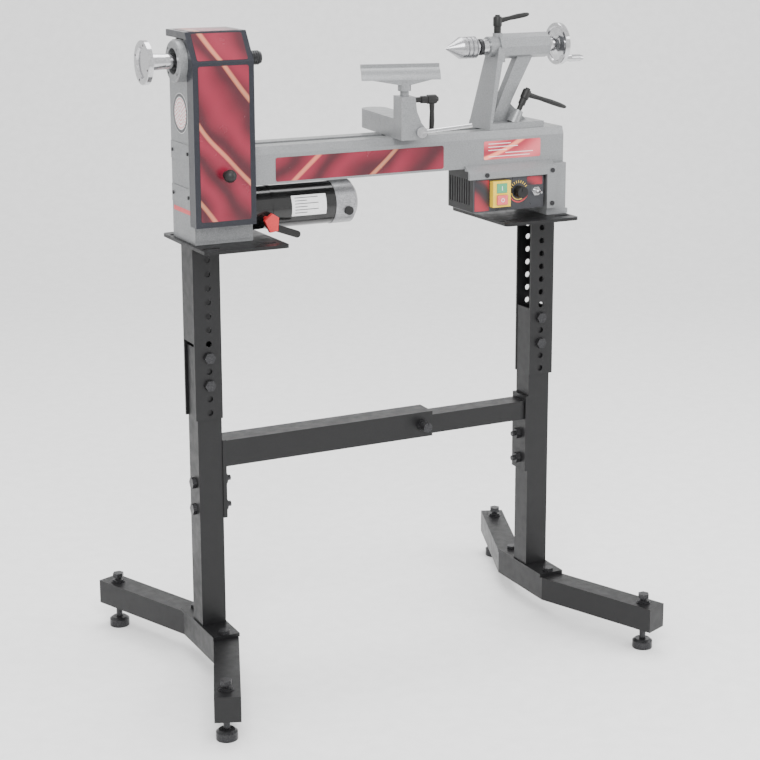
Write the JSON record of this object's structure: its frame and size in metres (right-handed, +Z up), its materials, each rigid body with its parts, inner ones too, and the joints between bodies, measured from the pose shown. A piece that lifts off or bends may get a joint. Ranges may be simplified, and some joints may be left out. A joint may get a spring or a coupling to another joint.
{
  "type": "wood lathe",
  "caption": "Midi wood lathe with belt headstock, tool rest, tailstock and speed controls, bolted on a telescoping black steel stand.",
  "frame": {"origin": "on the floor, midway between the two posts of the stand", "axes": "+X right along the bed towards the tailstock, +Y away from the operator, +Z up"},
  "size_m": [0.9188, 0.641, 1.1941],
  "materials": {
    "stand_black": "satin powder coat",
    "bolt_black": "black oxide",
    "rubber_black": "matt",
    "casting": "light grey hammered paint",
    "cover_plastic": "dark glossy",
    "black_plastic": "moulded",
    "steel": "machined",
    "chrome": "polished",
    "dark_steel": "dark",
    "aluminium": "cast",
    "belt": "ribbed",
    "motor_black": "gloss",
    "red_plastic": "moulded",
    "yellow_plastic": "moulded",
    "green_plastic": "moulded",
    "panel_grey": "printed",
    "box_black": "satin"
  },
  "bodies": {
    "lathe": {"left_foot": "stand_black", "right_foot": "stand_black", "left_post": "stand_black", "right_post": "stand_black", "left_bracket": "stand_black", "right_bracket": "stand_black", "stand_bolts": "bolt_black", "leveller_nuts": "bolt_black", "crossbar_sleeve": "stand_black", "crossbar_slide": "stand_black", "crossbar_lock": "bolt_black", "bed": "casting", "headstock": "casting", "bearings": "steel", "accessory_ring": "dark_steel", "access_panels": "casting", "cover_screws": "bolt_black", "drive_belt": "belt", "cover_hinge": "steel", "motor_body": "motor_black", "motor_cap": "aluminium", "brush_caps": "black_plastic", "tension_tab": "red_plastic", "control_box": "box_black", "control_bezel": "casting", "control_panel": "panel_grey", "switch_frame": "yellow_plastic", "toggle_nut": "chrome", "power_inlet": "black_plastic"},
    "leveller_fl": {"leveller_front_left": "bolt_black"},
    "leveller_fr": {"leveller_front_right": "bolt_black"},
    "leveller_bl": {"leveller_back_left": "bolt_black"},
    "leveller_br": {"leveller_back_right": "bolt_black"},
    "spindle_set": {"spindle": "dark_steel", "outboard_wheel": "chrome", "spindle_pulley": "aluminium"},
    "rotor": {"motor_shaft": "steel", "motor_pulley": "aluminium"},
    "cover": {"belt_cover": "cover_plastic", "cover_knob": "black_plastic"},
    "tension_arm": {"tension_lever": "black_plastic"},
    "green_push": {"green_button": "green_plastic"},
    "red_push": {"red_button": "red_plastic"},
    "dial": {"speed_dial": "black_plastic"},
    "toggle": {"toggle_lever": "chrome"},
    "tail": {"tailstock": "casting", "tail_clamp": "steel"},
    "quill_set": {"quill": "chrome", "centre_arbor": "dark_steel"},
    "centre": {"live_centre": "steel"},
    "wheel": {"tail_wheel": "chrome"},
    "grip": {"crank_grip": "chrome"},
    "quill_handle": {"quill_lock": "black_plastic"},
    "tail_handle": {"tail_clamp_lever": "black_plastic"},
    "rest_clamp": {"banjo_clamp": "steel"},
    "rest_base": {"banjo": "casting"},
    "cam": {"banjo_cam": "chrome"},
    "rest": {"tool_rest": "casting"},
    "post_handle": {"post_lock": "black_plastic"}
  },
  "joints": [
    {"name": "leveller_fl_screw", "type": "slide", "parent": "lathe", "child": "leveller_fl", "axis": [0, 0, 1], "range_m": [-0.004, 0.024]},
    {"name": "leveller_fr_screw", "type": "slide", "parent": "lathe", "child": "leveller_fr", "axis": [0, 0, 1], "range_m": [-0.004, 0.024]},
    {"name": "leveller_bl_screw", "type": "slide", "parent": "lathe", "child": "leveller_bl", "axis": [0, 0, 1], "range_m": [-0.004, 0.024]},
    {"name": "leveller_br_screw", "type": "slide", "parent": "lathe", "child": "leveller_br", "axis": [0, 0, 1], "range_m": [-0.004, 0.024]},
    {"name": "spindle_turn", "type": "hinge", "parent": "lathe", "child": "spindle_set", "pos_m": [-0.3, 0, 1.1311], "axis": [1, 0, 0], "continuous": true},
    {"name": "motor_turn", "type": "hinge", "parent": "lathe", "child": "rotor", "pos_m": [-0.3, 0.012, 0.861], "axis": [1, 0, 0], "continuous": true},
    {"name": "cover_hinge_turn", "type": "hinge", "parent": "lathe", "child": "cover", "pos_m": [-0.317, 0.063, 1.165], "axis": [-1, 0, 0], "range_deg": [0, 80]},
    {"name": "tension_lever_turn", "type": "hinge", "parent": "lathe", "child": "tension_arm", "pos_m": [-0.226, -0.03, 0.834], "axis": [0, 1, 0], "range_deg": [-12, 12]},
    {"name": "green_press", "type": "slide", "parent": "lathe", "child": "green_push", "axis": [0, 1, 0], "range_m": [0, 0.0025], "stiffness_N_per_m": 300},
    {"name": "red_press", "type": "slide", "parent": "lathe", "child": "red_push", "axis": [0, 1, 0], "range_m": [0, 0.0025], "stiffness_N_per_m": 300},
    {"name": "speed_turn", "type": "hinge", "parent": "lathe", "child": "dial", "pos_m": [0.272, -0.07, 0.863], "axis": [0, -1, 0], "range_deg": [-135, 135]},
    {"name": "direction_flip", "type": "hinge", "parent": "lathe", "child": "toggle", "pos_m": [0.31, -0.068, 0.861], "axis": [0, 0, 1], "range_deg": [-14, 14]},
    {"name": "tailstock_travel", "type": "slide", "parent": "lathe", "child": "tail", "axis": [1, 0, 0], "range_m": [-0.07, 0.03]},
    {"name": "quill_travel", "type": "slide", "parent": "tail", "child": "quill_set", "axis": [-1, 0, 0], "range_m": [-0.01, 0.05]},
    {"name": "centre_turn", "type": "hinge", "parent": "quill_set", "child": "centre", "pos_m": [0.2, 0, 1.1311], "axis": [1, 0, 0], "continuous": true},
    {"name": "wheel_turn", "type": "hinge", "parent": "tail", "child": "wheel", "pos_m": [0.39, 0, 1.1311], "axis": [1, 0, 0], "range_deg": [-1500, 7500]},
    {"name": "grip_turn", "type": "hinge", "parent": "wheel", "child": "grip", "pos_m": [0.415, -0.02, 1.1041], "axis": [1, 0, 0], "continuous": true},
    {"name": "quill_lock_turn", "type": "hinge", "parent": "tail", "child": "quill_handle", "pos_m": [0.2575, 0, 1.1561], "axis": [0, 0, 1], "range_deg": [-60, 60]},
    {"name": "tail_clamp_turn", "type": "hinge", "parent": "tail", "child": "tail_handle", "pos_m": [0.2928, -0.022, 1.01087], "axis": [0.454, 0, 0.891], "range_deg": [-35, 25]},
    {"name": "banjo_travel", "type": "slide", "parent": "lathe", "child": "rest_clamp", "axis": [1, 0, 0], "range_m": [-0.13, 0.01]},
    {"name": "banjo_swivel", "type": "hinge", "parent": "rest_clamp", "child": "rest_base", "pos_m": [0.043, 0, 0.9787], "axis": [0, 0, 1], "range_deg": [-10, 15]},
    {"name": "cam_turn", "type": "hinge", "parent": "rest_base", "child": "cam", "pos_m": [0.04532, -0.09275, 0.9927], "axis": [-0.1045, -0.9945, 0], "range_deg": [0, 80]},
    {"name": "rest_height", "type": "slide", "parent": "rest_base", "child": "rest", "axis": [0, 0, 1], "range_m": [-0.008, 0.03]},
    {"name": "post_lock_turn", "type": "hinge", "parent": "rest_base", "child": "post_handle", "pos_m": [0.03945, -0.07202, 1.0487], "axis": [0.9945, -0.1045, 0], "range_deg": [-15, 40]}
  ],
  "couplings": [
    {"joint": "motor_turn", "follows": "spindle_turn", "ratio": 1.6667},
    {"joint": "wheel_turn", "follows": "quill_travel", "rad_per_m": 2473.7}
  ]
}
